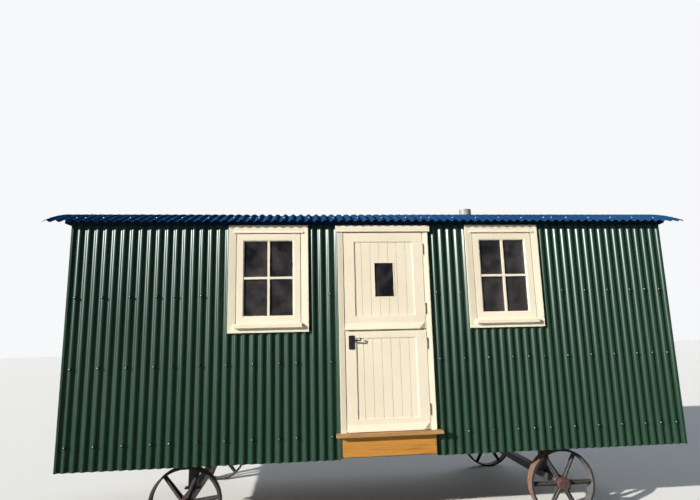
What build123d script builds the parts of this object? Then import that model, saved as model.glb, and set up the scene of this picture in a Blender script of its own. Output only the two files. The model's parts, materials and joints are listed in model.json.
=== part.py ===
"""A shepherd's hut: a corrugated timber-framed cabin with a curved roof, on four spoked iron wheels.

Millimetres. The origin is on the ground under the middle of the hut. +X runs along the hut to the
right of someone who faces the door, +Y runs from the door side to the back, and +Z is up.
"""

import os
from math import asin, degrees, sqrt

from build123d import *

# Corrugated sheet
pitch = 76.2
sheet_depth = 19.0
sheet_gauge = 2.0
crest_flat = 24.0

# Body of the hut, measured over the crests of its sheets
wall_corrugation_count = 73
end_corrugation_count = 30
wall_height = 1912.0
skirt_drop = 10.0
wall_core = 80.0
corner_trim_width = 16.0
corner_trim_gauge = 1.5

# Roof
eave_overhang = 80.0
overhang_corrugation_count = 3
end_sheet_corrugation_count = 5
roof_rise = 235.0
deck_depth = 60.0
eaves_board_height = 42.0
eaves_board_proud = 16.0
eaves_board_reach = 54.0
end_board_thickness = 30.0
board_gap = 0.3
cutting_margin = 100.0

# Floor and chassis
floor_height = 835.0
floor_depth = 95.0
bearer_width = 70.0
bearer_height = 90.0
crossmember_height = 50.0
crossmember_width = 60.0
crossmember_count = 8
rail_height = 120.0
rail_width = 60.0
rail_web = 6.0
rail_offset = 630.0
rail_inset = 80.0

# Wheels and axles
axle_places = {"left": -1769.0, "right": 1629.0}
wheel_radius = 305.0
tread_width = 90.0
rim_thickness = 20.0
wheel_inset = 150.0
spoke_count = 6
spoke_turns = {"left": 8.0, "right": 0.0}
spoke_root = 46.0
spoke_tip = 34.0
spoke_thickness = 15.0
rib_root = 62.0
rib_tip = 40.0
rib_thickness = 13.0
hub_radius = 52.0
hub_flange_radius = 66.0
hub_flange_length = 30.0
hub_length = 150.0
hub_outreach = 34.0
stub_radius = 22.0
running_clearance = 0.3
collar_radius = 40.0
collar_length = 12.0
nut_radius = 34.0
nut_length = 20.0
axle_beam = 70.0
post_width = 80.0
post_plate_width = 150.0
post_plate_thickness = 12.0

# Windows
window_places = {"left": -1055.0, "right": 1148.0}
window_width = 716.0
window_height = 970.0
window_drop = 37.0
trim_width = 66.0
trim_proud = 14.0
trim_lip = 8.0
trim_bevel = 6.0
window_foot = 81.0
window_head = 79.0
sash_gap = 6.0
sash_seat = 0.3
sash_thickness = 45.0
sash_recess = 5.0
sash_stile = 68.0
sash_rail = 66.0
sash_bevel_width = 10.0
sash_bevel_depth = 6.0
glazing_bar = 21.0
glass_rebate = 8.0
glass_thickness = 14.0
lining_thickness = 18.0
stop_width = 13.0
sill_nose_base = 41.0
sill_nose_height = 26.0
sill_nose_reach = 30.0
sill_nose_overlap = 6.0
drip_reach = 6.0
drip_height = 24.0
drip_overlap = 22.0

# Doorway and stable door
leaf_width = 740.0
leaf_gap = 5.0
latch_gap = 7.0
leaf_thickness = 44.0
leaf_recess = 4.0
leaf_split_gap = 6.0
leaf_head_gap = 7.0
leaf_drop = 107.0
lower_leaf_share = 0.4914
jamb_trim = 50.0
jamb_lining = 24.0
door_stop = 14.0
stop_clearance = 5.0
leaf_stile = 95.0
upper_top_rail = 88.0
upper_bottom_rail = 123.0
lower_top_rail = 68.0
lower_bottom_rail = 105.0
panel_recess = 7.0
panel_thickness = 20.0
board_width = 83.0
board_groove = 4.0
peep_width = 174.0
peep_foot = 175.0
peep_head = 199.0
peep_bead = 10.0
peep_bead_proud = 2.0
peep_glass = 8.0
peep_rebate = 5.0
weather_bar_height = 60.0
weather_bar_reach = 20.0
weather_bar_lip = 10.0
weather_bar_taper = 55.0
weather_bar_inset = 6.0
door_head_reach = 12.0
door_head_overlap = 18.0
sill_thickness = 27.0
sill_reach = 78.0
sill_overlap = 42.0
sill_leaf_gap = 6.0
kick_board_width = 826.0
kick_board_lift = 23.0

# Hinges, lever and back plates
hinge_insets = {"upper": (184.0, 157.0), "lower": (167.0, 126.0)}
hinge_length = 100.0
knuckle_radius = 5.0
knuckle_proud = 5.5
knuckle_gap = 0.5
pin_radius = 2.5
pin_clearance = 0.2
flap_thickness = 2.0
flap_depth = 30.0
lever_place = -315.0
lever_drop = 83.0
plate_width = 54.0
plate_height = 124.0
plate_thickness = 4.0
plate_drop = 21.0
strike_height = 84.0
strike_depth = 26.0
strike_proud = 3.0
strike_thickness = 1.5
plate_corner = 8.0
lever_clearance = 0.3
spindle_width = 7.0
spindle_hole_radius = 5.3
lever_standoff = 26.0
lever_boss_radius = 11.0
lever_boss_length = 14.0
lever_bar_height = 11.0
lever_bar_depth = 8.0
lever_eye_radius = 8.0
lever_run = 70.0
lever_droop = 6.0
lever_curl_radius = 10.0
lever_curl_tuck = 3.0

# Flue
flue_place = (1456.0, 707.0)
flue_radius = 75.0
flue_wall = 12.0
flue_rise = 435.0
flue_tail = 60.0
flue_clearance = 0.3
terminal_radius = 80.0
terminal_height = 75.0
flashing_radius = 150.0
flashing_rise = 110.0
flashing_collar = 6.0

# Sizes that follow from the ones above
half_length = wall_corrugation_count * pitch / 2
half_width = end_corrugation_count * pitch / 2
core_x = half_length - sheet_depth
core_y = half_width - sheet_depth
inner_x = core_x - wall_core
inner_y = core_y - wall_core

floor_base = floor_height - floor_depth
rail_top = floor_base - crossmember_height
rail_base = rail_top - rail_height
bearer_base = floor_base - bearer_height
skirt_height = bearer_base - skirt_drop
eave_height = floor_height + wall_height

roof_half_length = half_length + overhang_corrugation_count * pitch
half_span = half_width + eave_overhang
roof_radius = (half_span**2 + roof_rise**2) / (2 * roof_rise)
roof_axis = eave_height + roof_rise - roof_radius
sheet_under = roof_radius - sheet_depth
deck_under = sheet_under - deck_depth
above_roof = eave_height + roof_rise + cutting_margin

trim_face = half_width + trim_proud
window_top = eave_height - window_drop
window_base = window_top - window_height
sheet_top = window_top
sash_width = window_width - 2 * trim_width - 2 * sash_gap
sash_base = window_base + window_foot
sash_height = window_height - window_foot - window_head

leaf_face = trim_face - leaf_recess
leaf_left = -leaf_width / 2
leaf_right = leaf_width / 2
opening_left = leaf_left - latch_gap
opening_right = leaf_right + leaf_gap
sill_top = floor_height + sill_thickness
lower_leaf_base = sill_top + sill_leaf_gap
upper_leaf_top = eave_height - leaf_drop
lower_leaf_top = lower_leaf_base + lower_leaf_share * (upper_leaf_top - lower_leaf_base)
upper_leaf_base = lower_leaf_top + leaf_split_gap
lever_height = lower_leaf_top - lever_drop
opening_top = upper_leaf_top + leaf_head_gap
hole_left = opening_left - jamb_lining
hole_right = opening_right + jamb_lining
hole_top = opening_top + jamb_lining

pivot_x = leaf_right + leaf_gap / 2
pivot_y = -leaf_face - knuckle_proud
leaf_spans = {"upper": (upper_leaf_base, upper_leaf_top), "lower": (lower_leaf_base, lower_leaf_top)}
hinge_heights = {name: (leaf_spans[name][0] + foot, leaf_spans[name][1] - head)
                 for name, (foot, head) in hinge_insets.items()}


def save(piece, label):
    """Names a finished piece and writes it to its own file."""
    piece.part.label = label
    export_step(piece.part, f"parts/{label}.step")


def block(x_range, y_range, z_range, mode=Mode.ADD):
    """A box between two corners, in the hut's own frame."""
    (x0, x1), (y0, y1), (z0, z1) = x_range, y_range, z_range
    with Locations(((x0 + x1) / 2, (y0 + y1) / 2, (z0 + z1) / 2)):
        Box(x1 - x0, y1 - y0, z1 - z0, mode=mode)


def roof_cylinder(radius, mode):
    """The cylinder that the curved roof follows, at one radius."""
    with Locations((0, 0, roof_axis)):
        Cylinder(radius, 3 * roof_half_length, rotation=(0, 90, 0), mode=mode)


def sheet_lift(along, crest):
    """How far a wall sheet's outer face stands above its valleys, at a place along the wall."""
    offset = abs((along - crest + pitch / 2) % pitch - pitch / 2)
    slope = (pitch / 2 - crest_flat / 2 - offset) / (pitch / 2 - crest_flat)
    return (sheet_depth - sheet_gauge) * min(max(slope, 0.0), 1.0)


def sheet_outline(start, end, crest):
    """Corners of a sheet's section between two places: (along the wall, out from the core).

    Its back is plain and lies on the core, so that the flutes cost few faces.
    """
    corners = [start, end]
    first = int((start - crest) // pitch) - 1
    last = int((end - crest) // pitch) + 2
    for number in range(first, last):
        middle = crest + number * pitch
        for side in (-1, 1):
            for reach in (crest_flat / 2, pitch / 2 - crest_flat / 2):
                place = middle + side * reach
                if start < place < end:
                    corners.append(place)
    corners.sort()
    outer = [(place, sheet_lift(place, crest) + sheet_gauge) for place in reversed(corners)]
    return [(start, 0), (end, 0)] + outer


def wall_sheet(start, end, crest, base, top, place):
    """One flat corrugated sheet. place turns (along, out) into the hut's x and y."""
    with BuildPart() as sheet:
        with BuildSketch(Plane.XY.offset(base)):
            with BuildLine():
                Polyline([place(*corner) for corner in sheet_outline(start, end, crest)], close=True)
            make_face()
        extrude(amount=top - base)
    return sheet


def front(along, out):
    return along, -core_y - out


def back(along, out):
    return along, core_y + out


def left_end(along, out):
    return -core_x - out, along


def right_end(along, out):
    return core_x + out, along


def side_profile(points, x0, x1):
    """A bar along X from its section, drawn as (y, z) corners."""
    with BuildPart() as bar:
        with BuildSketch(Plane.YZ.offset(x0)):
            with BuildLine():
                Polyline(points, close=True)
            make_face()
        extrude(amount=x1 - x0)
    return bar


# Chassis: two channel rails, crossmembers on top, timber bearers round the edge
def chassis_rails():
    with BuildPart() as rails:
        for side in (-1, 1):
            web = side * (rail_offset - rail_width / 2)
            lip = side * (rail_offset + rail_width / 2)
            length = (-core_x + rail_inset, core_x - rail_inset)
            block(length, sorted((web, web + side * rail_web)), (rail_base, rail_top))
            block(length, sorted((web, lip)), (rail_base, rail_base + rail_web))
            block(length, sorted((web, lip)), (rail_top - rail_web, rail_top))
    save(rails, "chassis_rails")


def chassis_crossmembers():
    reach = core_x - rail_inset - crossmember_width / 2
    spacing = 2 * reach / (crossmember_count - 1)
    side = core_y - bearer_width
    with BuildPart() as crossmembers:
        with Locations((0, 0, rail_top + crossmember_height / 2)):
            with GridLocations(spacing, 1, crossmember_count, 1):
                Box(crossmember_width, 2 * side, crossmember_height)
    save(crossmembers, "chassis_crossmembers")


def bearers():
    reach_x, reach_y = core_x - bearer_width, core_y - bearer_width
    with BuildPart() as edge_bearers:
        block((-core_x, core_x), (-core_y, core_y), (bearer_base, floor_base))
        block((-reach_x, reach_x), (-reach_y, reach_y), (bearer_base, floor_base), Mode.SUBTRACT)
    save(edge_bearers, "floor_bearers")


def floor():
    with BuildPart() as deck:
        block((-core_x, core_x), (-core_y, core_y), (floor_base, floor_height))
    save(deck, "floor")


# Axles, the posts that carry the chassis on them, and the cast wheels
wheel_outer = half_width - wheel_inset
wheel_middle = wheel_outer - tread_width / 2
hub_outer = wheel_outer + hub_outreach
hub_inner = hub_outer - hub_length
beam_end = hub_inner - running_clearance - collar_length
axle_top = wheel_radius + axle_beam / 2


def axle(name, x):
    with BuildPart() as beam:
        with Locations((x, 0, wheel_radius)):
            Box(axle_beam, 2 * beam_end, axle_beam)
            Cylinder(stub_radius, 2 * (hub_outer + running_clearance + nut_length), rotation=(90, 0, 0))
        for side in (-1, 1):
            with Locations((x, side * (beam_end + collar_length / 2), wheel_radius)):
                Cylinder(collar_radius, collar_length, rotation=(90, 0, 0))
            middle = side * (hub_outer + running_clearance + nut_length / 2)
            nut_plane = Plane(origin=(x, middle - nut_length / 2, wheel_radius), z_dir=(0, 1, 0))
            with BuildSketch(nut_plane):
                RegularPolygon(nut_radius, 6)
            extrude(amount=nut_length)
    save(beam, f"{name}_axle")


def axle_posts():
    with BuildPart() as posts:
        for x in axle_places.values():
            for side in (-1, 1):
                y = side * rail_offset
                half = post_width / 2
                plate = post_plate_width / 2
                y_range = (y - rail_width / 2, y + rail_width / 2)
                block((x - half, x + half), y_range, (axle_top, rail_base))
                block((x - plate, x + plate), y_range, (rail_base - post_plate_thickness, rail_base))
                block((x - plate, x + plate), y_range, (axle_top, axle_top + post_plate_thickness))
    save(posts, "axle_posts")


def wheel(name, x, side, spoke_turn):
    y = side * wheel_middle
    hub_middle = side * (hub_outer + hub_inner) / 2
    rim_inner = wheel_radius - rim_thickness
    spoke_start = hub_radius - 8
    spoke_end = rim_inner + 2
    spoke_length = spoke_end - spoke_start
    spoke_taper = degrees(asin((spoke_root - spoke_tip) / 2 / spoke_length))
    plane = Plane(origin=(x, y, wheel_radius), x_dir=(1, 0, 0), z_dir=(0, -1, 0))
    with BuildPart() as casting:
        with BuildSketch(plane):
            Circle(wheel_radius)
            Circle(rim_inner, mode=Mode.SUBTRACT)
        extrude(amount=tread_width / 2, both=True)
        with Locations((x, hub_middle, wheel_radius)):
            Cylinder(hub_radius, hub_length, rotation=(90, 0, 0))
        with Locations((x, y, wheel_radius)):
            Cylinder(hub_flange_radius, hub_flange_length, rotation=(90, 0, 0))
        with BuildSketch(plane):
            with PolarLocations(0, spoke_count, start_angle=spoke_turn):
                with Locations((spoke_start + spoke_length / 2, 0)):
                    Trapezoid(spoke_root, spoke_length, 90 - spoke_taper, rotation=-90)
        extrude(amount=spoke_thickness / 2, both=True)
        with BuildSketch(Plane(origin=(x, y, wheel_radius), x_dir=(1, 0, 0), z_dir=(0, 0, 1))):
            with BuildLine():
                Polyline((spoke_start, -rib_root / 2), (spoke_end, -rib_tip / 2), (spoke_end, rib_tip / 2),
                         (spoke_start, rib_root / 2), close=True)
            make_face()
        rib = extrude(amount=rib_thickness / 2, both=True, mode=Mode.PRIVATE)
        for number in range(spoke_count):
            turn = Axis((x, y, wheel_radius), (0, 1, 0))
            add(rib.rotate(turn, number * 360 / spoke_count - spoke_turn))
        with Locations((x, hub_middle, wheel_radius)):
            Cylinder(stub_radius + running_clearance, hub_length, rotation=(90, 0, 0), mode=Mode.SUBTRACT)
    save(casting, name)


# Walls: a timber core on the floor, split beside and over the doorway
def cut_window(x):
    """The hole in the front wall that a window's lining fits."""
    half = sash_width / 2 + sash_gap + lining_thickness
    base = sash_base - sash_seat - lining_thickness
    top = sash_base + sash_height + sash_gap + lining_thickness
    block((x - half, x + half), (-core_y - 1, -inner_y + 1), (base, top), mode=Mode.SUBTRACT)


def front_walls():
    y_range = (-core_y, -inner_y)
    for name, x_range in {"left": (-core_x, hole_left), "right": (hole_right, core_x)}.items():
        with BuildPart() as wall:
            block(x_range, y_range, (floor_height, above_roof))
            roof_cylinder(deck_under, Mode.INTERSECT)
            cut_window(window_places[name])
        save(wall, f"front_wall_{name}")
    with BuildPart() as header:
        block((hole_left, hole_right), y_range, (hole_top, above_roof))
        roof_cylinder(deck_under, Mode.INTERSECT)
    save(header, "front_wall_header")


def other_walls():
    with BuildPart() as back_wall:
        block((-core_x, core_x), (inner_y, core_y), (floor_height, above_roof))
        roof_cylinder(deck_under, Mode.INTERSECT)
    save(back_wall, "back_wall")
    for name, side in {"left": -1, "right": 1}.items():
        with BuildPart() as wall:
            block(sorted((side * inner_x, side * core_x)), (-inner_y, inner_y), (floor_height, above_roof))
            roof_cylinder(deck_under, Mode.INTERSECT)
        save(wall, f"{name}_end_wall")


# Cladding: corrugated sheets between the trims, from the skirt to the eaves boards
def cladding():
    half = window_width / 2
    left, right = window_places["left"], window_places["right"]
    door_left = opening_left - jamb_trim
    door_right = opening_right + jamb_trim
    bays = ((-half_length, left - half, sheet_top), (left - half, left + half, window_base),
            (left + half, door_left, sheet_top), (door_right, right - half, sheet_top),
            (right - half, right + half, window_base), (right + half, half_length, sheet_top))
    with BuildPart() as front_cladding:
        for start, end, top in bays:
            add(wall_sheet(start, end, -half_length, skirt_height, top, front).part)
    save(front_cladding, "front_cladding")

    back_cladding = wall_sheet(-half_length, half_length, half_length, skirt_height, sheet_top, back)
    save(back_cladding, "back_cladding")

    for name, place in {"left": left_end, "right": right_end}.items():
        sheet = wall_sheet(-core_y, core_y, -half_width, skirt_height, above_roof, place)
        with BuildPart() as end_cladding:
            add(sheet.part)
            roof_cylinder(sheet_under - eaves_board_height, Mode.INTERSECT)
        save(end_cladding, f"{name}_end_cladding")


def corner_trims():
    outer = corner_trim_gauge
    with BuildPart() as trims:
        for along in (-1, 1):
            for across in (-1, 1):
                x, y = along * half_length, across * half_width
                block(sorted((x + along * outer, x - along * corner_trim_width)),
                      sorted((y, y + across * outer)), (skirt_height, sheet_top))
                block(sorted((x, x + along * outer)),
                      sorted((y + across * outer, y - across * corner_trim_width)), (skirt_height, sheet_top))
    save(trims, "corner_trims")


# Roof: curved deck, eaves and end boards, and one covering of sheets bent over it
def roof_deck():
    with BuildPart() as deck:
        block((-core_x, core_x), (-core_y, core_y), (sheet_top, above_roof))
        roof_cylinder(sheet_under, Mode.INTERSECT)
        roof_cylinder(deck_under, Mode.SUBTRACT)
        with Locations((flue_place[0], flue_place[1], above_roof)):
            Cylinder(flue_radius + flue_clearance, 2 * flue_tail + 4 * deck_depth + 2 * roof_rise,
                     mode=Mode.SUBTRACT)
    save(deck, "roof_deck")


def eaves_boards():
    reach = half_length + eaves_board_reach
    face = half_width + eaves_board_proud
    with BuildPart() as boards:
        for side in (-1, 1):
            with BuildSketch(Plane.XZ.offset(-side * core_y)):
                with BuildLine():
                    Polyline((-half_length, sheet_top + board_gap), (half_length, sheet_top + board_gap),
                             (reach, sheet_top + eaves_board_height / 2), (reach, above_roof),
                             (-reach, above_roof), (-reach, sheet_top + eaves_board_height / 2), close=True)
                make_face()
            extrude(amount=-side * (face - core_y))
        roof_cylinder(sheet_under, Mode.INTERSECT)
    save(boards, "eaves_boards")


def end_boards():
    with BuildPart() as boards:
        for side in (-1, 1):
            block(sorted((side * half_length, side * (half_length + end_board_thickness))),
                  (-core_y, core_y), (skirt_height, above_roof))
        roof_cylinder(sheet_under, Mode.INTERSECT)
        roof_cylinder(sheet_under - eaves_board_height, Mode.SUBTRACT)
    save(boards, "roof_end_boards")


def roof_sheet(name, first, last):
    """One curved sheet between two of the roof's valleys, counted from its left end."""
    axis = Axis((0, 0, roof_axis), (1, 0, 0))
    swing = degrees(asin(half_span / roof_radius))
    ends = [-roof_half_length + number * pitch for number in (first, last)]
    if first > 0:
        ends[0] += board_gap
    top_line = []
    for number in range(first, last):
        valley = -roof_half_length + number * pitch
        top_line += [(max(valley, ends[0]), sheet_under + sheet_gauge), (valley + pitch / 2, roof_radius)]
    top_line.append((ends[1], sheet_under + sheet_gauge))
    section = Plane(origin=(0, 0, roof_axis), x_dir=(1, 0, 0), z_dir=(0, -1, 0)).rotated((-swing, 0, 0))
    with BuildPart() as sheet:
        with BuildSketch(section):
            with BuildLine():
                Polyline([(ends[0], sheet_under), *top_line, (ends[1], sheet_under)], close=True)
            make_face()
        revolve(axis=axis, revolution_arc=2 * swing)
        if ends[0] < flue_place[0] < ends[1]:
            with Locations((flue_place[0], flue_place[1], above_roof)):
                Cylinder(flue_radius + flue_clearance, 4 * roof_rise, mode=Mode.SUBTRACT)
    save(sheet, name)


def roof_sheets():
    last = wall_corrugation_count + 2 * overhang_corrugation_count
    joint = overhang_corrugation_count + end_sheet_corrugation_count
    roof_sheet("left_roof_sheet", 0, joint)
    roof_sheet("middle_roof_sheet", joint, last - joint)
    roof_sheet("right_roof_sheet", last - joint, last)


# Windows: a splayed frame with its lining, sill nose and drip, a barred sash, and the glass
def splay(outer, inner, face, depth):
    """Cuts a sloping reveal from one rectangle to a smaller one: (x0, x1, z0, z1) each."""
    with BuildSketch(Plane.XZ.offset(face)) as wide:
        with Locations(((outer[0] + outer[1]) / 2, (outer[2] + outer[3]) / 2)):
            Rectangle(outer[1] - outer[0], outer[3] - outer[2])
    with BuildSketch(Plane.XZ.offset(face - depth)) as narrow:
        with Locations(((inner[0] + inner[1]) / 2, (inner[2] + inner[3]) / 2)):
            Rectangle(inner[1] - inner[0], inner[3] - inner[2])
    loft([wide.sketch.face(), narrow.sketch.face()], mode=Mode.SUBTRACT)


def window_frame(name, x):
    half = window_width / 2
    opening = (x - sash_width / 2 - sash_gap, x + sash_width / 2 + sash_gap)
    foot = sash_base - sash_seat
    head = sash_base + sash_height + sash_gap
    lining = (opening[0] - lining_thickness, opening[1] + lining_thickness)
    stop = (opening[0] + stop_width, opening[1] - stop_width)
    sash_back = trim_face - sash_recess - sash_thickness
    with BuildPart() as frame:
        block((x - half, x + half), (-trim_face, -core_y), (window_base, window_top))
        block(lining, (-core_y, -inner_y), (foot - lining_thickness, head + lining_thickness))
        block(opening, (-trim_face - 1, -sash_back), (foot, head), mode=Mode.SUBTRACT)
        block(stop, (-sash_back - 1, -inner_y + 1), (foot + stop_width, head - stop_width),
              mode=Mode.SUBTRACT)
        splay((x - half + trim_lip, x + half - trim_lip, window_base + trim_lip, window_top - trim_lip),
              (opening[0], opening[1], foot, head), trim_face, trim_bevel)
        nose_base = window_base + sill_nose_base
        nose_front = trim_face + sill_nose_reach
        nose = side_profile(
            [(-core_y, nose_base), (-nose_front, nose_base), (-nose_front, nose_base + sill_nose_height),
             (-trim_face + trim_bevel, foot), (-core_y, foot)],
            opening[0] - sill_nose_overlap, opening[1] + sill_nose_overlap)
        add(nose.part)
        drip = side_profile(
            [(-core_y, head), (-trim_face - drip_reach, head),
             (-trim_face - drip_reach, head + drip_height / 2),
             (-trim_face + trim_bevel, head + drip_height), (-core_y, head + drip_height)],
            opening[0] - drip_overlap, opening[1] + drip_overlap)
        add(drip.part)
    save(frame, f"{name}_window_frame")


def window_sash(name, x):
    face = trim_face - sash_recess
    back = face - sash_thickness
    half = sash_width / 2
    pane = (x - half + sash_stile, x + half - sash_stile)
    pane_z = (sash_base + sash_rail, sash_base + sash_height - sash_rail)
    glass_front = -face + (sash_thickness - glass_thickness) / 2
    glass_y = (glass_front, glass_front + glass_thickness)
    glass_x = (pane[0] - glass_rebate, pane[1] + glass_rebate)
    glass_z = (pane_z[0] - glass_rebate, pane_z[1] + glass_rebate)
    with BuildPart() as sash:
        block((x - half, x + half), (-face, -back), (sash_base, sash_base + sash_height))
        block(pane, (-face - 1, -back + 1), pane_z, mode=Mode.SUBTRACT)
        splay((pane[0] - sash_bevel_width, pane[1] + sash_bevel_width,
               pane_z[0] - sash_bevel_width, pane_z[1] + sash_bevel_width),
              (*pane, *pane_z), face, sash_bevel_depth)
        middle = (pane_z[0] + pane_z[1]) / 2
        bar_y = (-face + sash_bevel_depth / 2, -back - sash_bevel_depth / 2)
        block((x - glazing_bar / 2, x + glazing_bar / 2), bar_y, pane_z)
        block(pane, bar_y, (middle - glazing_bar / 2, middle + glazing_bar / 2))
        block(glass_x, glass_y, glass_z, mode=Mode.SUBTRACT)
    save(sash, f"{name}_window_sash")
    with BuildPart() as glass:
        block(glass_x, glass_y, glass_z)
    save(glass, f"{name}_window_glass")


# Doorway: jambs, head and head board, oak sill, and the board under it
def jamb(name, edge, side):
    stop_face = leaf_face - leaf_thickness - stop_clearance
    profile = [(jamb_trim, core_y), (jamb_trim, trim_face), (jamb_trim - trim_lip, trim_face),
               (0, trim_face - trim_bevel), (0, stop_face), (-door_stop, stop_face),
               (-door_stop, inner_y), (jamb_lining, inner_y), (jamb_lining, core_y)]
    with BuildPart() as post:
        with BuildSketch(Plane.XY.offset(sill_top)):
            with BuildLine():
                Polyline([(edge + side * out, -y) for out, y in profile], close=True)
            make_face()
        extrude(amount=opening_top - sill_top)
    save(post, f"{name}_door_jamb")


def door_head():
    stop_face = leaf_face - leaf_thickness - stop_clearance
    left, right = opening_left - jamb_trim, opening_right + jamb_trim
    with BuildPart() as head:
        block((left, right), (-trim_face, -core_y), (opening_top, window_top))
        block((left - door_head_overlap, right + door_head_overlap),
              (-trim_face - door_head_reach, -trim_face), (opening_top, window_top - trim_lip))
        block((hole_left, hole_right), (-core_y, -inner_y), (opening_top, hole_top))
        block((opening_left + door_stop, opening_right - door_stop), (-stop_face, -inner_y),
              (opening_top - door_stop, opening_top))
    save(head, "door_head")


def sill_and_kick_board():
    left, right = opening_left - jamb_trim, opening_right + jamb_trim
    front_edge = half_width + sill_reach
    with BuildPart() as sill:
        block((left - sill_overlap, right + sill_overlap), (-front_edge, -half_width),
              (floor_height, sill_top))
        block((left, right), (-half_width, -core_y), (floor_height, sill_top))
        block((hole_left, hole_right), (-core_y, -inner_y), (floor_height, sill_top))
    save(sill, "oak_sill")
    with BuildPart() as board:
        block((-kick_board_width / 2, kick_board_width / 2), (-trim_face, -core_y),
              (skirt_height + kick_board_lift, floor_height))
    save(board, "kick_board")


# Stable door: two leaves on their own hinges, the upper one with a small pane
def weather_bar(base):
    """The sloping bar along a leaf's foot, with a long taper at the hinge side."""
    reach = weather_bar_reach
    slope = side_profile(
        [(-leaf_face, base), (-leaf_face - reach, base), (-leaf_face - reach, base + weather_bar_lip),
         (-leaf_face, base + weather_bar_height)],
        leaf_left + weather_bar_inset, leaf_right - weather_bar_inset)
    with BuildPart() as bar:
        add(slope.part)
        with BuildSketch(Plane.XY.offset(base)):
            with BuildLine():
                left, right = leaf_left + weather_bar_inset, leaf_right - weather_bar_inset
                Polyline((left, -leaf_face), (right, -leaf_face), (right - weather_bar_taper, -leaf_face - reach),
                         (left, -leaf_face - reach), close=True)
            make_face()
        extrude(amount=weather_bar_height, mode=Mode.INTERSECT)
    return bar


def leaf_blank(base, top, bottom_rail, top_rail):
    """A framed leaf with a recessed panel of V-jointed boards and its weather bar."""
    panel_x = (leaf_left + leaf_stile, leaf_right - leaf_stile)
    panel_z = (base + bottom_rail, top - top_rail)
    front_y = -leaf_face + panel_recess
    count = int((panel_x[1] - panel_x[0]) / board_width)
    with BuildPart() as leaf:
        block((leaf_left, leaf_right), (-leaf_face, -leaf_face + leaf_thickness), (base, top))
        block(panel_x, (-leaf_face - 1, front_y), panel_z, mode=Mode.SUBTRACT)
        block(panel_x, (front_y + panel_thickness, -leaf_face + leaf_thickness + 1), panel_z,
              mode=Mode.SUBTRACT)
        with BuildSketch(Plane.XY.offset(panel_z[0])):
            with Locations((0, front_y)):
                with GridLocations(board_width, 1, count, 1):
                    Rectangle(board_groove / sqrt(2), board_groove / sqrt(2), rotation=45)
        extrude(amount=panel_z[1] - panel_z[0], mode=Mode.SUBTRACT)
        add(weather_bar(base).part)
    return leaf


def upper_leaf():
    blank = leaf_blank(upper_leaf_base, upper_leaf_top, upper_bottom_rail, upper_top_rail)
    half = peep_width / 2
    base = upper_leaf_base + upper_bottom_rail + peep_foot
    top = upper_leaf_top - upper_top_rail - peep_head
    front_y = -leaf_face + panel_recess
    glass_front = front_y + (panel_thickness - peep_glass) / 2
    glass_x = (-half - peep_rebate, half + peep_rebate)
    glass_y = (glass_front, glass_front + peep_glass)
    glass_z = (base - peep_rebate, top + peep_rebate)
    with BuildPart() as leaf:
        add(blank.part)
        block((-half - peep_bead, half + peep_bead), (front_y - peep_bead_proud, front_y + panel_thickness),
              (base - peep_bead, top + peep_bead))
        block((-half, half), (-leaf_face - 1, -leaf_face + leaf_thickness + 1), (base, top),
              mode=Mode.SUBTRACT)
        block(glass_x, glass_y, glass_z, mode=Mode.SUBTRACT)
    save(leaf, "upper_leaf")
    with BuildPart() as glass:
        block(glass_x, glass_y, glass_z)
    save(glass, "upper_leaf_glass")


def lower_leaf():
    blank = leaf_blank(lower_leaf_base, lower_leaf_top, lower_bottom_rail, lower_top_rail)
    with BuildPart() as leaf:
        add(blank.part)
        with Locations((lever_place, -leaf_face + leaf_thickness / 2, lever_height)):
            Cylinder(spindle_hole_radius, leaf_thickness, rotation=(90, 0, 0),
                     mode=Mode.SUBTRACT)
    save(leaf, "lower_leaf")


# Butt hinges: a fixed half with the pin and two knuckles, and a leaf half with the middle one
def fixed_half(z):
    third = hinge_length / 3
    flap_x = (opening_right - flap_thickness, opening_right)
    with BuildPart() as half:
        block(flap_x, (-leaf_face, -leaf_face + flap_depth), (z - hinge_length / 2, z + hinge_length / 2))
        for side in (-1, 1):
            length = third - knuckle_gap
            middle = z + side * (hinge_length / 2 - length / 2)
            block(flap_x, (pivot_y, -leaf_face), (middle - length / 2, middle + length / 2))
            with Locations((pivot_x, pivot_y, middle)):
                Cylinder(knuckle_radius, length)
        with Locations((pivot_x, pivot_y, z)):
            Cylinder(pin_radius, hinge_length)
    return half


def leaf_half(z):
    length = hinge_length / 3
    flap_x = (leaf_right, leaf_right + flap_thickness)
    with BuildPart() as half:
        block(flap_x, (-leaf_face, -leaf_face + flap_depth), (z - hinge_length / 2, z + hinge_length / 2))
        block(flap_x, (pivot_y, -leaf_face), (z - length / 2, z + length / 2))
        with Locations((pivot_x, pivot_y, z)):
            Cylinder(knuckle_radius, length)
            Cylinder(pin_radius + pin_clearance, length, mode=Mode.SUBTRACT)
    return half


def hinges():
    with BuildPart() as fixed:
        for heights in hinge_heights.values():
            for z in heights:
                add(fixed_half(z).part)
    save(fixed, "fixed_hinge_halves")
    for name, heights in hinge_heights.items():
        with BuildPart() as moving:
            for z in heights:
                add(leaf_half(z).part)
        save(moving, f"{name}_leaf_hinge_halves")


# Strike plate on the left jamb; lever and its back plate on the lower leaf
def strike_plate():
    middle = lever_height - plate_drop
    with BuildPart() as plate:
        block((opening_left, opening_left + strike_thickness),
              (-leaf_face - strike_proud, -leaf_face - strike_proud + strike_depth),
              (middle - strike_height / 2, middle + strike_height / 2))
    save(plate, "strike_plate")


def back_plate():
    with BuildPart() as plate:
        block((lever_place - plate_width / 2, lever_place + plate_width / 2),
              (-leaf_face - plate_thickness, -leaf_face),
              (lever_height - plate_drop - plate_height / 2, lever_height - plate_drop + plate_height / 2))
        fillet(plate.edges().filter_by(Axis.Y), plate_corner)
        with Locations((lever_place, -leaf_face, lever_height)):
            Cylinder(spindle_hole_radius, 4 * plate_thickness, rotation=(90, 0, 0),
                     mode=Mode.SUBTRACT)
    save(plate, "back_plate")


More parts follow.
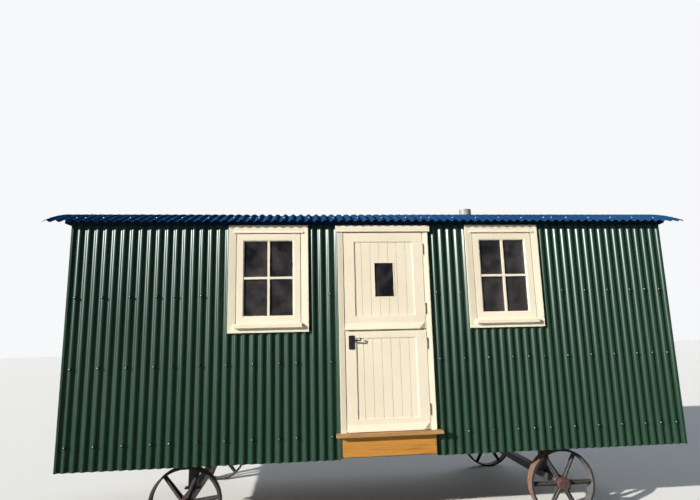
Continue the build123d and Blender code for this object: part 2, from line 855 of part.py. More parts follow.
def lever():
    out = -leaf_face - lever_standoff
    start = (lever_place, out, lever_height)
    turn = (lever_place + lever_run, out, lever_height - lever_droop)
    tip = (turn[0] - lever_curl_tuck, out, turn[2] + 2 * lever_curl_radius)
    with BuildPart() as handle:
        with BuildLine():
            arm = Line(start, turn)
            TangentArc(turn, tip, tangent=arm % 1)
        with BuildSketch(Plane(origin=start, x_dir=(0, 1, 0), z_dir=arm % 0)):
            Rectangle(lever_bar_depth, lever_bar_height)
        sweep()
        with Locations(start):
            Cylinder(lever_eye_radius, 2 * lever_eye_radius, rotation=(90, 0, 0))
        boss_middle = -leaf_face - plate_thickness - lever_clearance - lever_boss_length / 2
        with Locations((lever_place, boss_middle, lever_height)):
            Cylinder(lever_boss_radius, lever_boss_length, rotation=(90, 0, 0))
        half = spindle_width / 2
        block((lever_place - half, lever_place + half), (out, -leaf_face + leaf_thickness),
              (lever_height - half, lever_height + half))
    save(handle, "lever")


# Flue: the pipe with its top band, and the flashing it passes through
def flue():
    x, y = flue_place
    tail = roof_axis + sqrt(deck_under**2 - y**2) - flue_tail
    surface = roof_axis + sqrt(roof_radius**2 - y**2)
    top = surface + flue_rise
    with BuildPart() as pipe:
        with Locations((x, y, (tail + top) / 2)):
            Cylinder(flue_radius, top - tail)
        with Locations((x, y, top - terminal_height / 2)):
            Cylinder(terminal_radius, terminal_height)
        with Locations((x, y, (tail + top) / 2)):
            Cylinder(flue_radius - flue_wall, top - tail, mode=Mode.SUBTRACT)
    save(pipe, "flue")

    with BuildPart() as flashing:
        with Locations((x, y, surface)):
            Cylinder(flashing_radius, 2 * flashing_rise)
        with Locations((x, y, surface + flashing_rise / 2)):
            Cylinder(flashing_radius + 1, flashing_rise, mode=Mode.SUBTRACT)
            Cone(flashing_radius, flue_radius + flashing_collar, flashing_rise)
        roof_cylinder(roof_radius, Mode.SUBTRACT)
        with Locations((x, y, surface)):
            Cylinder(flue_radius, 4 * flashing_rise, mode=Mode.SUBTRACT)
    save(flashing, "flue_flashing")


if __name__ == "__main__":
    os.makedirs("parts", exist_ok=True)
    chassis_rails()
    chassis_crossmembers()
    bearers()
    floor()
    for name, x in axle_places.items():
        axle(name, x)
        wheel(f"front_{name}_wheel", x, -1, spoke_turns[name])
        wheel(f"back_{name}_wheel", x, 1, spoke_turns[name])
    axle_posts()
    front_walls()
    other_walls()
    cladding()
    corner_trims()
    roof_deck()
    eaves_boards()
    end_boards()
    roof_sheets()
    for name, x in window_places.items():
        window_frame(name, x)
        window_sash(name, x)
    jamb("left", opening_left, -1)
    jamb("right", opening_right, 1)
    door_head()
    sill_and_kick_board()
    upper_leaf()
    lower_leaf()
    hinges()
    strike_plate()
    back_plate()
    lever()
    flue()
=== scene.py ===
"""Dresses the shepherd's hut: thin corrugated sheets, screws, paint, timber, glass, iron and the light."""

import json
import math

import bmesh
import bpy
from mathutils import Matrix, Vector


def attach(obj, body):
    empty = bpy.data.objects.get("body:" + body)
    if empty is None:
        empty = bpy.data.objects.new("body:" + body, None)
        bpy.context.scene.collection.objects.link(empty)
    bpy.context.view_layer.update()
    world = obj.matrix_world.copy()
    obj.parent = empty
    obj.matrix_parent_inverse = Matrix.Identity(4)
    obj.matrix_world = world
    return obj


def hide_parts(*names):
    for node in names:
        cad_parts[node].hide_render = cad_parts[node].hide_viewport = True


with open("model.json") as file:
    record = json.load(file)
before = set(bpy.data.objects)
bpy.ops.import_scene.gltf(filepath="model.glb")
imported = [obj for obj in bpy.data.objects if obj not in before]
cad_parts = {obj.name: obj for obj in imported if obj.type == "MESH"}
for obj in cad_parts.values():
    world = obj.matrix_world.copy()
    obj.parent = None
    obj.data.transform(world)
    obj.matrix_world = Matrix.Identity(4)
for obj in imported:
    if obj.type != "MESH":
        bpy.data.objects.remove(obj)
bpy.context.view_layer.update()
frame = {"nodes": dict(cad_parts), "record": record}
nodes = frame["nodes"]

# Sizes that repeat the CAD's, in metres
PITCH = 0.0762
FLUTES_LONG, FLUTES_WIDE = 73, 30
ROOF_END_FLUTES = 3  # of the roof's overhang at each end
ROOF_FLUTES = FLUTES_LONG + 2 * ROOF_END_FLUTES
DEPTH = 0.019
GAUGE = 0.001
WAVE = DEPTH - GAUGE
FLUTE_BEND = (PITCH**2 / 16 + WAVE**2 / 4) / WAVE
HALF_L = FLUTES_LONG * PITCH / 2
HALF_W = FLUTES_WIDE * PITCH / 2
CORE_X = HALF_L - DEPTH
CORE_Y = HALF_W - DEPTH
SKIRT = 0.640
SHEET_TOP = 2.710
CREST_SHIFT = 0.006
FRONT_CREST = -HALF_L - CREST_SHIFT
END_CREST = -HALF_W
ROOF_HALF_L = HALF_L + ROOF_END_FLUTES * PITCH
EAVE_Z = 2.747
EAVE_REACH = 0.080
RISE = 0.235
HALF_SPAN = HALF_W + EAVE_REACH
ROOF_R = (HALF_SPAN**2 + RISE**2) / (2 * RISE)
ROOF_AXIS = EAVE_Z + RISE - ROOF_R
SHEET_UNDER = ROOF_R - DEPTH
EAVES_BOARD_HEIGHT = 0.042
WHEEL_RADIUS = 0.305
AXLES = {"left": -1.769, "right": 1.629}
PANEL_FRONT = -1.146
# depths behind the door panel's face between which the grooves get painted shade
PANEL_GROOVE_SHADE = (PANEL_FRONT + 0.0002, PANEL_FRONT + 0.0022)
WINDOWS = {"left": -1.055, "right": 1.148}
WINDOW_HALF = 0.358
WINDOW_BASE = 1.740
DOOR_LEFT, DOOR_RIGHT = -0.427, 0.425
FLUE_X, FLUE_Y = 1.456, 0.707

# The scene's own detail
WALL_STEPS = 24  # columns of faces in one pitch
ROOF_STEPS = 16
ROOF_ROWS = 22
ROOF_SWING = 0.9999  # share of the deck's half angle, which keeps the sheet inside the CAD's box
FRONT_FULLNESS = 2.6  # 2 would be nearly the deck's arc
END_CLEAR = 0.0005  # between the end sheets and the boards over them
SHARP_ANGLE = math.radians(40)
SPLASH_TOP = 0.95
GLOSS_TOP = 2.7
GROOVE_EDGE = 0.0006

SCREW_HEIGHTS = (2.073, 1.470, 0.837)
# Flutes with screws, counted from the left corner, on the left of the door and on its right
SCREW_FLUTES = (1, 4, 7, 10, 12, 15, 18, 21, 24, 26, 30,
                43, 46, 49, 52, 54, 56, 59, 62, 65, 68, 70, 72)
ROOF_SCREW_ANGLES = (-0.352, -0.26, -0.13, 0.0, 0.13, 0.26, 0.352)
ROOF_LAP_FLUTES = (4, 23, 44, 61)  # these have screws too, besides every third flute
TRIM_CLEAR = 0.01  # between a screw and an opening
CORNER_CLEAR = 0.02
FLUE_CLEAR_SQUARED = 0.03  # no roof screw within 173 mm of the flue's centre
# Rings of a turned shape: sides, radius at its base and at its top, height of its base, depth
ROOF_SCREW = ((16, 0.0080, 0.0069, 0.0, 0.0018), (6, 0.0052, 0.0047, 0.0018, 0.0040),
              (12, 0.0044, 0.0025, 0.0058, 0.0014))
ROOF_SCREW_SINK = 0.0006
# wide dark washers: partly their own colour, partly painted shadow round each wall screw, together with the
# near-black caps
WALL_WASHER = ((16, 0.0145, 0.0130, 0.0, 0.0024),)
CAP_RADIUS = 0.0108
CAP_CENTRE = 0.0024

# Sockets of the Mix node that carry colours
MIX_A, MIX_B, MIX_OUT = 6, 7, 2


# Materials
class Tree:
    """Adds and links shader nodes in one node tree, which it empties first."""

    def __init__(self, owner):
        owner.use_nodes = True
        self.tree = owner.node_tree
        self.tree.nodes.clear()

    def add(self, kind, **values):
        """Adds a node and sets its properties and inputs. An input's name has underscores for spaces."""
        node = self.tree.nodes.new(kind)
        for key, value in values.items():
            if hasattr(node, key):
                setattr(node, key, value)
            else:
                node.inputs[key.replace("_", " ")].default_value = value
        return node

    def link(self, a, a_out, b, b_in):
        self.tree.links.new(a.outputs[a_out], b.inputs[b_in])

    def math(self, operation):
        return self.add("ShaderNodeMath", operation=operation)

    def mix(self, factor, a, b):
        """Mixes two colours, each (node, output) or a plain colour, by the factor (node, output)."""
        node = self.add("ShaderNodeMix", data_type="RGBA", clamp_result=True)
        for value, socket in ((a, MIX_A), (b, MIX_B)):
            if isinstance(value[0], float):
                node.inputs[socket].default_value = (*value, 1.0)
            else:
                self.link(*value, node, socket)
        self.link(*factor, node, 0)
        return node, MIX_OUT


class Maker(Tree):
    """One node material: a Principled shader, with the textures and maps that feed it."""

    def __init__(self, name):
        self.mat = bpy.data.materials.new(name)
        super().__init__(self.mat)
        self.shader = self.add("ShaderNodeBsdfPrincipled")
        self.link(self.shader, "BSDF", self.add("ShaderNodeOutputMaterial"), "Surface")
        self.place = self.add("ShaderNodeTexCoord")

    def set(self, **values):
        for key, value in values.items():
            self.shader.inputs[key.replace("_", " ")].default_value = value

    def axes(self, output="Object"):
        """Splits the object coordinates, or the normal, into its three axes."""
        node = self.add("ShaderNodeSeparateXYZ")
        self.link(self.place, output, node, "Vector")
        return node

    def noise(self, scale, detail, roughness, stretch=(1, 1, 1), distortion=0.0):
        """Noise in object coordinates, stretched along the axes with the small factors."""
        spread = self.add("ShaderNodeMapping", Scale=stretch)
        self.link(self.place, "Object", spread, "Vector")
        node = self.add("ShaderNodeTexNoise", Scale=scale, Detail=detail, Roughness=roughness,
                        Distortion=distortion)
        self.link(spread, "Vector", node, "Vector")
        return node

    def ramp(self, source, output, stops):
        """Maps a factor to colours at the given stops."""
        node = self.add("ShaderNodeValToRGB")
        self.link(source, output, node, "Fac")
        marks = node.color_ramp.elements
        while len(marks) < len(stops):
            marks.new(0.5)
        for mark, (at, colour) in zip(marks, stops):
            mark.position = at
            mark.color = (*colour, 1.0)
        return node

    def grey(self, source, output, low, high, start=0.0, end=1.0):
        """Maps a number's range from start to end onto the range from low to high."""
        node = self.add("ShaderNodeMapRange", From_Min=start, From_Max=end, To_Min=low, To_Max=high)
        self.link(source, output, node, "Value")
        return node, "Result"

    def finish(self, colour, rough, relief, distance, strength):
        """Links the colour, the roughness and a bump, each given as (node, output)."""
        self.link(*colour, self.shader, "Base Color")
        self.link(*rough, self.shader, "Roughness")
        bump = self.add("ShaderNodeBump", Strength=strength, Distance=distance)
        self.link(*relief, bump, "Height")
        self.link(bump, "Normal", self.shader, "Normal")
        return self.mat


def scaled(colour, factor):
    return tuple(value * factor for value in colour)


def gloss_sheet(name, base, dark, dust, rough, gloss, along_z=True):
    """Plastisol-coated steel: faint waves, streaks of rain, splashes at its foot and more gloss higher up."""
    m = Maker(name)
    streak = m.noise(2.2, 5, 0.6, (6, 6, 0.35) if along_z else (6, 0.5, 0.5))
    cloud = m.noise(1.3, 3, 0.5)
    colour = m.ramp(cloud, "Fac", [(0.3, dark), (0.7, base)])
    film = m.mix(m.grey(streak, "Fac", 0.0, 0.05, 0.5, 0.8), (colour, "Color"), dust)
    place = m.axes()
    splash = m.grey(place, "Z", 0.2, 0.0, SKIRT, SPLASH_TOP)
    speck = m.noise(38, 6, 0.7)
    spots = m.math("MULTIPLY")
    m.link(*m.grey(speck, "Fac", 0.0, 1.0, 0.5, 0.72), spots, 0)
    m.link(*splash, spots, 1)
    final = m.mix((spots, "Value"), film, dust)
    if gloss:
        shine = m.grey(place, "Z", gloss * 0.4, gloss * 1.25, SKIRT, GLOSS_TOP)
        m.link(*shine, m.shader, "Specular IOR Level")
    else:
        m.set(Specular_IOR_Level=0.0)
    wave = m.noise(9, 2, 0.4)
    dull = m.grey(streak, "Fac", rough - 0.03, rough + 0.06, 0.35, 0.75)
    return m.finish(final, dull, (wave, "Fac"), 0.0006, 0.5)


def painted_wood(name, base, shade, rough, grain=(26, 26, 1.6), gloss=0.5, grooves=None):
    """Brushed paint: faint grain, brush lines, soft patches, and painted shade darkening the grooves between
    the two given depths.
    """
    m = Maker(name)
    cloud = m.noise(2.5, 4, 0.55)
    fibre = m.noise(3.0, 6, 0.6, grain, 0.4)
    colour = m.ramp(cloud, "Fac", [(0.3, shade), (0.62, base)])
    film = m.mix(m.grey(fibre, "Fac", 0.0, 0.14, 0.48, 0.75), (colour, "Color"), scaled(shade, 0.72))
    # painted shade: the paint between the two depths is darkened as if the grooves lay in shadow
    if grooves:
        depth = m.axes()
        inside = m.math("MULTIPLY")
        for socket, (start, low, high) in enumerate(((grooves[0], 0.0, 0.9), (grooves[1], 1.0, 0.0))):
            m.link(*m.grey(depth, "Y", low, high, start, start + GROOVE_EDGE), inside, socket)
        film = m.mix((inside, "Value"), film, scaled(shade, 0.2))
    m.set(Specular_IOR_Level=gloss)
    dull = m.grey(fibre, "Fac", rough - 0.08, rough + 0.1, 0.3, 0.7)
    return m.finish(film, dull, (fibre, "Fac"), 0.0005, 0.45)


def bare_wood(name, light, mid, dark, axis, rough, coat=0.0):
    """Sawn or varnished timber with rings stretched along one axis, and pores."""
    m = Maker(name)
    stretch = tuple(0.9 if letter == axis else 14.0 for letter in "xyz")
    ring = m.noise(2.0, 6, 0.62, stretch, 1.2)
    fine = m.noise(9.0, 5, 0.7, stretch)
    colour = m.ramp(ring, "Fac", [(0.3, dark), (0.47, mid), (0.68, light)])
    film = m.mix(m.grey(fine, "Fac", 0.0, 0.45, 0.56, 0.8), (colour, "Color"), dark)
    m.set(Coat_Weight=coat, Coat_Roughness=0.1, Specular_IOR_Level=0.25)
    dull = m.grey(fine, "Fac", rough - 0.1, rough + 0.1, 0.3, 0.7)
    return m.finish(film, dull, (fine, "Fac"), 0.0006, 0.5)


def iron(name, base, rust, amount, rough, metallic):
    """Cast or forged iron under old paint, rusting in patches."""
    m = Maker(name)
    patch = m.noise(7, 8, 0.65)
    grit = m.noise(70, 4, 0.6)
    colour = m.ramp(grit, "Fac", [(0.35, scaled(base, 0.6)), (0.65, base)])
    rusty = m.grey(patch, "Fac", 0.0, 1.0, 0.62 - amount * 0.3, 0.78 - amount * 0.3)
    brown = m.ramp(grit, "Fac", [(0.3, scaled(rust, 0.55)), (0.7, rust)])
    film = m.mix(rusty, (colour, "Color"), (brown, "Color"))
    m.set(Metallic=metallic)
    return m.finish(film, m.grey(*rusty, rough, 0.92), (grit, "Fac"), 0.0008, 0.6)


def wheel_iron(name, centre_x):
    """Cast wheel: dark faces, dusty flanks, a rusty tread and a red hub, told apart by radius and facing."""
    m = Maker(name)
    grit = m.noise(60, 5, 0.65)
    place = m.axes()
    plane = m.add("ShaderNodeCombineXYZ")
    for axis, middle in (("X", centre_x), ("Z", WHEEL_RADIUS)):
        off = m.math("SUBTRACT")
        m.link(place, axis, off, 0)
        off.inputs[1].default_value = middle
        m.link(off, "Value", plane, axis)
    radius = m.add("ShaderNodeVectorMath", operation="LENGTH")
    m.link(plane, "Vector", radius, "Vector")
    front_back = m.math("ABSOLUTE")
    m.link(m.axes("Normal"), "Y", front_back, 0)

    def tone(low, high):
        return m.ramp(grit, "Fac", [(0.32, low), (0.68, high)]), "Color"

    tread = m.grey(radius, "Value", 0.0, 1.0, WHEEL_RADIUS - 0.009, WHEEL_RADIUS - 0.005)
    face = m.grey(front_back, "Value", 0.0, 1.0, 0.45, 0.8)
    hub = m.grey(radius, "Value", 1.0, 0.0, 0.052, 0.064)
    colour = m.mix(tread, tone((0.055, 0.053, 0.052), (0.15, 0.145, 0.14)),
                   tone((0.10, 0.055, 0.035), (0.26, 0.155, 0.10)))
    colour = m.mix(face, colour, tone((0.010, 0.010, 0.011), (0.042, 0.036, 0.034)))
    colour = m.mix(hub, colour, tone((0.045, 0.018, 0.016), (0.15, 0.045, 0.038)))
    m.set(Specular_IOR_Level=0.2)
    return m.finish(colour, m.grey(grit, "Fac", 0.6, 0.9, 0.3, 0.7), (grit, "Fac"), 0.0008, 0.6)


def brushed(name, base, rough, metallic=1.0, stretch=(1, 1, 40), gloss=0.5):
    """Brushed or rolled metal with smears."""
    m = Maker(name)
    lines = m.noise(8, 4, 0.6, stretch)
    smear = m.noise(5, 3, 0.5)
    colour = m.ramp(smear, "Fac", [(0.3, scaled(base, 0.75)), (0.7, base)])
    m.set(Metallic=metallic, Specular_IOR_Level=gloss)
    dull = m.grey(lines, "Fac", rough - 0.08, rough + 0.12, 0.3, 0.7)
    return m.finish((colour, "Color"), dull, (lines, "Fac"), 0.0002, 0.4)


def window_glass(name):
    """Double glazing: half clear, painted dark as the shade of the room behind it, with lighter noise patches
    that are partly painted reflection and partly a faint film of dust.
    """
    m = Maker(name)
    film = m.noise(5, 6, 0.65)
    # painted shade and painted reflection: the dark stop stands for the unlit room behind, the lighter stop
    # for reflected branches and dust
    colour = m.ramp(film, "Fac", [(0.38, (0.016, 0.014, 0.015)), (0.66, (0.100, 0.090, 0.090))])
    m.link(colour, "Color", m.shader, "Base Color")
    m.link(*m.grey(film, "Fac", 0.02, 0.07, 0.35, 0.75), m.shader, "Roughness")
    m.set(IOR=1.5, Alpha=0.55)
    return m.mat


GREEN = gloss_sheet("green_sheet", (0.016, 0.052, 0.028), (0.011, 0.040, 0.023), (0.14, 0.19, 0.15),
                    rough=0.30, gloss=0.24)
ROOF = gloss_sheet("blue_sheet", (0.016, 0.072, 0.186), (0.009, 0.048, 0.150), (0.10, 0.19, 0.33),
                   rough=0.45, gloss=0.0, along_z=False)
CREAM_TONES = (0.87, 0.79, 0.64), (0.82, 0.73, 0.575)
CREAM = painted_wood("cream_paint", *CREAM_TONES, rough=0.48, gloss=0.25)
# the door leaves' paint, with painted shade in the panel's grooves
LEAF_CREAM = painted_wood("leaf_paint", *CREAM_TONES, rough=0.48, gloss=0.25, grooves=PANEL_GROOVE_SHADE)
OAK = bare_wood("oak", (0.50, 0.30, 0.125), (0.42, 0.23, 0.08), (0.22, 0.10, 0.03), axis="x", rough=0.5)
BOARD = bare_wood("varnished_board", (0.60, 0.29, 0.05), (0.52, 0.23, 0.035), (0.32, 0.11, 0.015),
                  axis="x", rough=0.45, coat=0.1)
DECK = bare_wood("floor_timber", (0.50, 0.36, 0.22), (0.38, 0.26, 0.15), (0.22, 0.14, 0.08),
                 axis="x", rough=0.7)
FRAMING = bare_wood("framing_timber", (0.42, 0.31, 0.20), (0.31, 0.22, 0.13), (0.17, 0.11, 0.07),
                    axis="x", rough=0.8)
LINING = bare_wood("wall_core", (0.72, 0.58, 0.40), (0.62, 0.47, 0.29), (0.42, 0.29, 0.16),
                   axis="z", rough=0.55)
EAVES = painted_wood("dark_timber", (0.009, 0.014, 0.032), (0.006, 0.009, 0.021), rough=0.6,
                     grain=(1.6, 26, 26), gloss=0.1)
CHASSIS = iron("chassis_steel", (0.035, 0.034, 0.036), (0.16, 0.07, 0.03), 0.15, rough=0.55, metallic=0.2)
CAST = iron("cast_iron", (0.050, 0.046, 0.044), (0.20, 0.10, 0.055), 0.25, rough=0.7, metallic=0.25)
BLACK = iron("black_iron", (0.012, 0.012, 0.016), (0.05, 0.03, 0.02), 0.05, rough=0.38, metallic=0.4)
HINGE = brushed("hinge_steel", (0.10, 0.085, 0.07), rough=0.5)
FLUE = brushed("flue_steel", (0.36, 0.355, 0.35), rough=0.5, metallic=0.0, gloss=0.15)
SCREW = brushed("screw_zinc", (0.45, 0.48, 0.52), rough=0.55, metallic=0.1, stretch=(1, 1, 1), gloss=0.3)
# Painted shadow: the caps are near-black and the washers wide and black, so that besides their own dark
# colour they stand for the shadow round each wall screw.
CAP = painted_wood("screw_cap", (0.006, 0.013, 0.010), (0.004, 0.009, 0.007), rough=0.36,
                   grain=(9, 9, 9), gloss=0.7)
WASHER = painted_wood("dark_washer_and_shadow", (0.008, 0.010, 0.010), (0.005, 0.006, 0.006), rough=0.8,
                      grain=(9, 9, 9), gloss=0.04)
RUBBER = iron("flashing", (0.03, 0.03, 0.032), (0.08, 0.07, 0.06), 0.1, rough=0.75, metallic=0.0)
GLASS = window_glass("window_glass")

BY_SLOT = {
    "chassis_steel": CHASSIS, "cast_iron": CAST, "framing_timber": FRAMING, "floor_timber": DECK,
    "wall_core": LINING, "green_sheet": GREEN, "blue_sheet": ROOF, "cream_paint": CREAM, "oak": OAK,
    "varnished_board": BOARD, "dark_timber": EAVES, "glass": GLASS, "black_iron": BLACK,
    "hinge_steel": HINGE, "flue_steel": FLUE, "flashing": RUBBER,
}
WHEELS = {side: wheel_iron(f"{side}_wheel_iron", x) for side, x in AXLES.items()}
for part in frame["record"]["subparts"]:
    if part["node"] in nodes:
        mesh = nodes[part["node"]].data
        mesh.materials.clear()
        material = BY_SLOT[part["material_slot"]]
        if part["node"].endswith("_wheel"):
            material = WHEELS["left" if "_left_" in part["node"] else "right"]
        elif part["node"] in ("upper_leaf", "lower_leaf"):
            material = LEAF_CREAM
        mesh.materials.append(material)


# Mesh helpers
def piece(name, bm, material, body="hut", stands_for=()):
    """Makes a finished piece from a bmesh and hangs it on its body."""
    bmesh.ops.recalc_face_normals(bm, faces=bm.faces)
    mesh = bpy.data.meshes.new(name)
    for face in bm.faces:
        face.smooth = True
    bm.to_mesh(mesh)
    bm.free()
    mesh.materials.append(material)
    obj = bpy.data.objects.new(name, mesh)
    bpy.context.scene.collection.objects.link(obj)
    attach(obj, body)
    if stands_for:
        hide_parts(*stands_for)
    return obj


def mark_sharp(bm):
    bm.normal_update()
    for edge in bm.edges:
        if len(edge.link_faces) == 2 and edge.calc_face_angle(0.0) > SHARP_ANGLE:
            edge.smooth = False


def grid_skin(bm, outer, inner):
    """A closed thin skin from two matching grids of points, [row][column]."""
    rows, cols = len(outer), len(outer[0])
    a = [[bm.verts.new(p) for p in row] for row in outer]
    b = [[bm.verts.new(p) for p in row] for row in inner]
    for r in range(rows - 1):
        for c in range(cols - 1):
            bm.faces.new((a[r][c], a[r][c + 1], a[r + 1][c + 1], a[r + 1][c]))
            bm.faces.new((b[r][c], b[r + 1][c], b[r + 1][c + 1], b[r][c + 1]))
    for c in range(cols - 1):
        bm.faces.new((a[0][c], b[0][c], b[0][c + 1], a[0][c + 1]))
        bm.faces.new((a[-1][c], a[-1][c + 1], b[-1][c + 1], b[-1][c]))
    for r in range(rows - 1):
        bm.faces.new((a[r][0], a[r + 1][0], b[r + 1][0], b[r][0]))
        bm.faces.new((a[r][-1], b[r][-1], b[r + 1][-1], a[r + 1][-1]))


def flute(along, crest):
    """Height of a flute, 0 in its trough and 1 on its crest: two arcs that meet halfway up."""
    off = abs((along - crest + PITCH / 2) % PITCH - PITCH / 2)
    on_crest = off < PITCH / 4
    reach = off if on_crest else PITCH / 2 - off
    drop = (FLUTE_BEND - math.sqrt(FLUTE_BEND**2 - reach**2)) / WAVE
    return 1 - drop if on_crest else drop


def lift(along, crest):
    """How far the sheet's outer face stands above the core, at a place along the wall."""
    return GAUGE + WAVE * flute(along, crest)


def wall_sheet(bm, start, end, crest, top, place):
    """A thin corrugated sheet. top is a height, or a function of the place along the wall."""
    steps = max(2, int(round((end - start) / PITCH * WALL_STEPS)))
    outer, inner = [[], []], [[], []]
    for n in range(steps + 1):
        along = start + (end - start) * n / steps
        out = lift(along, crest)
        high = top(along) if callable(top) else top
        for row, z in enumerate((SKIRT, high)):
            x, y = place(along, out)
            outer[row].append((x, y, z))
            x, y = place(along, out - GAUGE)
            inner[row].append((x, y, z))
    grid_skin(bm, outer, inner)


def front(along, out):
    return along, -CORE_Y - out


def back(along, out):
    return along, CORE_Y + out


def left_end(along, out):
    return -CORE_X - out, along


def right_end(along, out):
    return CORE_X + out, along


left, right = WINDOWS["left"], WINDOWS["right"]
bm = bmesh.new()
for start, end, top in ((-HALF_L, left - WINDOW_HALF, SHEET_TOP),
                        (left - WINDOW_HALF, left + WINDOW_HALF, WINDOW_BASE),
                        (left + WINDOW_HALF, DOOR_LEFT, SHEET_TOP),
                        (DOOR_RIGHT, right - WINDOW_HALF, SHEET_TOP),
                        (right - WINDOW_HALF, right + WINDOW_HALF, WINDOW_BASE),
                        (right + WINDOW_HALF, HALF_L, SHEET_TOP)):
    wall_sheet(bm, start, end, FRONT_CREST, top, front)
mark_sharp(bm)
piece("front_sheets", bm, GREEN, stands_for=["front_cladding"])
bm = bmesh.new()
wall_sheet(bm, -HALF_L, HALF_L, -FRONT_CREST, SHEET_TOP, back)
mark_sharp(bm)
piece("back_sheets", bm, GREEN, stands_for=["back_cladding"])


def end_top(along):
    """Top of an end sheet, under the curved board that is as high as the eaves boards."""
    return ROOF_AXIS + math.sqrt((SHEET_UNDER - EAVES_BOARD_HEIGHT) ** 2 - along**2) - END_CLEAR


for name, place in (("left", left_end), ("right", right_end)):
    bm = bmesh.new()
    wall_sheet(bm, -CORE_Y, CORE_Y, END_CREST, end_top, place)
    mark_sharp(bm)
    piece(f"{name}_end_sheets", bm, GREEN, stands_for=[f"{name}_end_cladding"])


# Roof: one thin corrugated sheet bent over the deck
def fuller(y):
    """How far the front slope stands above the deck's arc, which is steeper at the eave in the photograph."""
    share = min(1.0, abs(y) / HALF_SPAN)
    arc = ROOF_AXIS + math.sqrt(ROOF_R**2 - (share * HALF_SPAN) ** 2) - EAVE_Z
    return max(0.0, RISE * (1 - share**FRONT_FULLNESS) - arc) if y < 0 else 0.0


def roof_sheet():
    bm = bmesh.new()
    swing = math.asin(HALF_SPAN / ROOF_R) * ROOF_SWING
    columns = int(round(2 * ROOF_HALF_L / PITCH * ROOF_STEPS))
    outer, inner = [], []
    for r in range(ROOF_ROWS + 1):
        angle = -swing + 2 * swing * r / ROOF_ROWS
        top, under = [], []
        for c in range(columns + 1):
            x = -ROOF_HALF_L + 2 * ROOF_HALF_L * c / columns
            reach = SHEET_UNDER + GAUGE + WAVE * flute(x, ROOF_HALF_L - PITCH / 2)
            for out, row in ((reach, top), (reach - GAUGE, under)):
                y = out * math.sin(angle)
                row.append((x, y, ROOF_AXIS + out * math.cos(angle) + fuller(y)))
        outer.append(top)
        inner.append(under)
    grid_skin(bm, outer, inner)
    mark_sharp(bm)
    piece("roof_sheets", bm, ROOF,
          stands_for=["left_roof_sheet", "middle_roof_sheet", "right_roof_sheet"])


roof_sheet()


# Screws on the crests: round caps on dark washers on the walls, hexagon heads with washers on the roof
def turned(bm, at, out, rings):
    """Cones stacked at a point, pointing along out."""
    turn = Vector(out).to_track_quat("Z", "Y").to_matrix().to_4x4()
    spot = Matrix.Translation(at) @ turn
    for segments, wide, narrow, base, depth in rings:
        bmesh.ops.create_cone(bm, cap_ends=True, segments=segments, radius1=wide, radius2=narrow,
                              depth=depth, matrix=spot @ Matrix.Translation((0, 0, base + depth / 2)))


def crest_at(target, crest):
    """The crest that is nearest to a place along the wall."""
    return crest + round((target - crest) / PITCH) * PITCH


wall_spots = []
for row, z in enumerate(SCREW_HEIGHTS):
    for mark in SCREW_FLUTES:
        x = crest_at(-HALF_L + mark * PITCH, FRONT_CREST)
        at_window = row == 0 and any(abs(x - w) < WINDOW_HALF + TRIM_CLEAR for w in WINDOWS.values())
        if not at_window and not DOOR_LEFT - TRIM_CLEAR < x < DOOR_RIGHT + TRIM_CLEAR:
            wall_spots.append(((x, -HALF_W, z), (0, -1, 0)))
        wall_spots.append(((-x, HALF_W, z), (0, 1, 0)))
    for mark in range(1, FLUTES_WIDE, 3):
        y = crest_at(-HALF_W + mark * PITCH, END_CREST)
        if abs(y) < CORE_Y - CORNER_CLEAR:
            wall_spots += [((-HALF_L, y, z), (-1, 0, 0)), ((HALF_L, y, z), (1, 0, 0))]
bm = bmesh.new()
bmesh.ops.create_uvsphere(bm, u_segments=14, v_segments=10, radius=CAP_RADIUS)
cap = bpy.data.meshes.new("cap_shape")
bm.to_mesh(cap)
bm.clear()
for at, out in wall_spots:
    middle = Vector(at) + Vector(out) * CAP_CENTRE
    cap.transform(Matrix.Translation(middle))
    bm.from_mesh(cap)
    cap.transform(Matrix.Translation(-middle))
bpy.data.meshes.remove(cap)
piece("wall_screws", bm, CAP)
bm = bmesh.new()
for at, out in wall_spots:
    turned(bm, at, out, WALL_WASHER)
mark_sharp(bm)
piece("wall_washers", bm, WASHER)

bm = bmesh.new()
for angle in ROOF_SCREW_ANGLES:
    for n in range(ROOF_FLUTES):
        if n % 3 and n not in ROOF_LAP_FLUTES:
            continue
        x = -ROOF_HALF_L + (n + 0.5) * PITCH
        out = Vector((0, math.sin(angle), math.cos(angle)))
        at = Vector((x, 0, ROOF_AXIS)) + out * ROOF_R
        at.z += fuller(at.y)
        if (at.x - FLUE_X) ** 2 + (at.y - FLUE_Y) ** 2 > FLUE_CLEAR_SQUARED:
            turned(bm, at - out * ROOF_SCREW_SINK, out, ROOF_SCREW)
mark_sharp(bm)
piece("roof_screws", bm, SCREW)


# Softened edges on the CAD's own pieces
def soften(names, width):
    for name in names:
        if name in nodes:
            mod = nodes[name].modifiers.new("edges", "BEVEL")
            mod.width = width
            mod.segments = 2
            mod.limit_method = "ANGLE"
            mod.angle_limit = math.radians(35)
            mod.harden_normals = False


soften(["left_window_frame", "right_window_frame", "left_window_sash", "right_window_sash",
        "left_door_jamb", "right_door_jamb", "door_head"], width=0.0018)
soften(["oak_sill", "kick_board"], width=0.003)


# Stage: a pale floor and a room that only the camera, gloss and glass see, white but for its dim side
def backdrop_rays(tree):
    """1 for the rays that see the backdrop: from the camera, and off gloss or through glass."""
    ray = tree.add("ShaderNodeLightPath")
    total = ray, "Is Camera Ray"
    for output in ("Is Glossy Ray", "Is Transmission Ray"):
        either = tree.math("MAXIMUM")
        tree.link(*total, either, 0)
        tree.link(ray, output, either, 1)
        total = either, 0
    return total


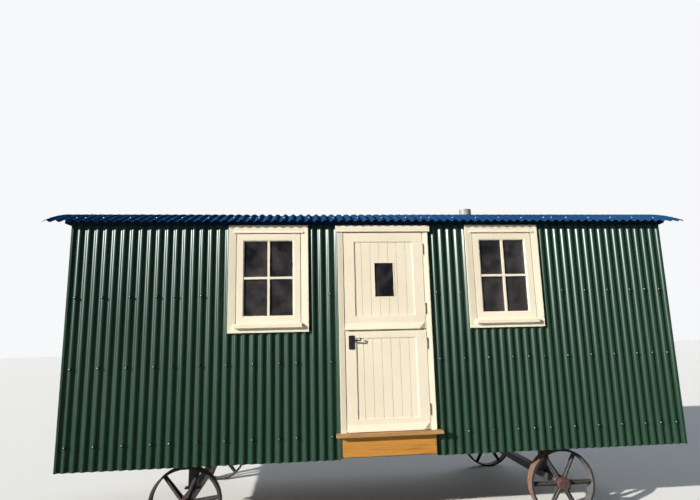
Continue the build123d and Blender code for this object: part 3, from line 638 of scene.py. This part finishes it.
def stage_material(name, seen, thrown):
    """A floor that looks pale, and throws back only as much light as grass does."""
    m = Maker(name)
    m.set(Roughness=0.9)
    m.link(*m.mix(backdrop_rays(m), thrown, seen), m.shader, "Base Color")
    return m.mat


bpy.ops.mesh.primitive_plane_add(size=120, location=(0, 0, 0))
floor = bpy.context.object
floor.name = "studio_floor"
pale = stage_material("studio_floor", seen=(0.80, 0.80, 0.79), thrown=(0.10, 0.105, 0.075))
floor.data.materials.append(pale)

world = bpy.data.worlds.new("studio")
bpy.context.scene.world = world
sky = Tree(world)
place = sky.add("ShaderNodeTexCoord")
axes = sky.add("ShaderNodeSeparateXYZ")
sky.link(place, "Generated", axes, "Vector")
behind = sky.add("ShaderNodeMapRange", From_Min=-0.1, From_Max=0.5)
sky.link(axes, "Y", behind, "Value")
whole = sky.math("MAXIMUM")
sky.link(behind, "Result", whole, 0)
sky.link(sky.add("ShaderNodeLightPath"), "Is Camera Ray", whole, 1)
dim_side, white_side = (0.03, 0.09, 0.22), (0.93, 0.94, 0.95)
room = sky.add("ShaderNodeBackground", Strength=1.0)
sky.link(*sky.mix((whole, 0), dim_side, white_side), room, "Color")
soft = sky.add("ShaderNodeBackground", Color=(0.64, 0.79, 1.0, 1.0), Strength=0.13)
pick = sky.add("ShaderNodeMixShader")
sky.link(*backdrop_rays(sky), pick, "Fac")
sky.link(soft, "Background", pick, 1)
sky.link(room, "Background", pick, 2)
sky.link(pick, "Shader", sky.add("ShaderNodeOutputWorld"), "Surface")


def sun(name, energy, colour, direction, degrees):
    """A sun that shines along a direction. degrees is how wide it looks from the ground."""
    data = bpy.data.lights.new(name, "SUN")
    data.energy = energy
    data.color = colour
    data.angle = math.radians(degrees)
    obj = bpy.data.objects.new(name, data)
    bpy.context.scene.collection.objects.link(obj)
    obj.rotation_euler = Vector(direction).to_track_quat("-Z", "Y").to_euler()
    return obj


LOW_FROM_LEFT = (34, 20, -15)
sun("key", 5.7, (1.0, 0.95, 0.86), LOW_FROM_LEFT, degrees=0.8)
glint = sun("glint", 24, (0.95, 0.99, 1.0), LOW_FROM_LEFT, degrees=1.5)
glint.visible_diffuse = False  # only gloss sees it
sun("back_fill", 1.1, (0.92, 0.96, 1.0), (-24, -30, -17), degrees=60)

# Camera: where the photographer stood
EYE = (-0.7569, -5.6244, 1.6935)
yaw, pitch, roll = math.radians(5.6974), math.radians(9.8814), math.radians(-1.3744)
camera_data = bpy.data.cameras.new("camera")
camera = bpy.data.objects.new("camera", camera_data)
bpy.context.scene.collection.objects.link(camera)
camera_data.lens = 25.3513
camera_data.sensor_width = 36
camera_data.clip_start = 0.05
camera_data.clip_end = 300
forward = Vector((math.sin(yaw) * math.cos(pitch), math.cos(yaw) * math.cos(pitch), math.sin(pitch)))
side = forward.cross(Vector((0, 0, 1))).normalized()
up = side.cross(forward).normalized()
rolled_side = math.cos(roll) * side + math.sin(roll) * up
rolled_up = -math.sin(roll) * side + math.cos(roll) * up
basis = Matrix((rolled_side, rolled_up, -forward)).transposed()
camera.matrix_world = Matrix.Translation(EYE) @ basis.to_4x4()
bpy.context.scene.camera = camera

bpy.context.scene.view_settings.view_transform = "Standard"
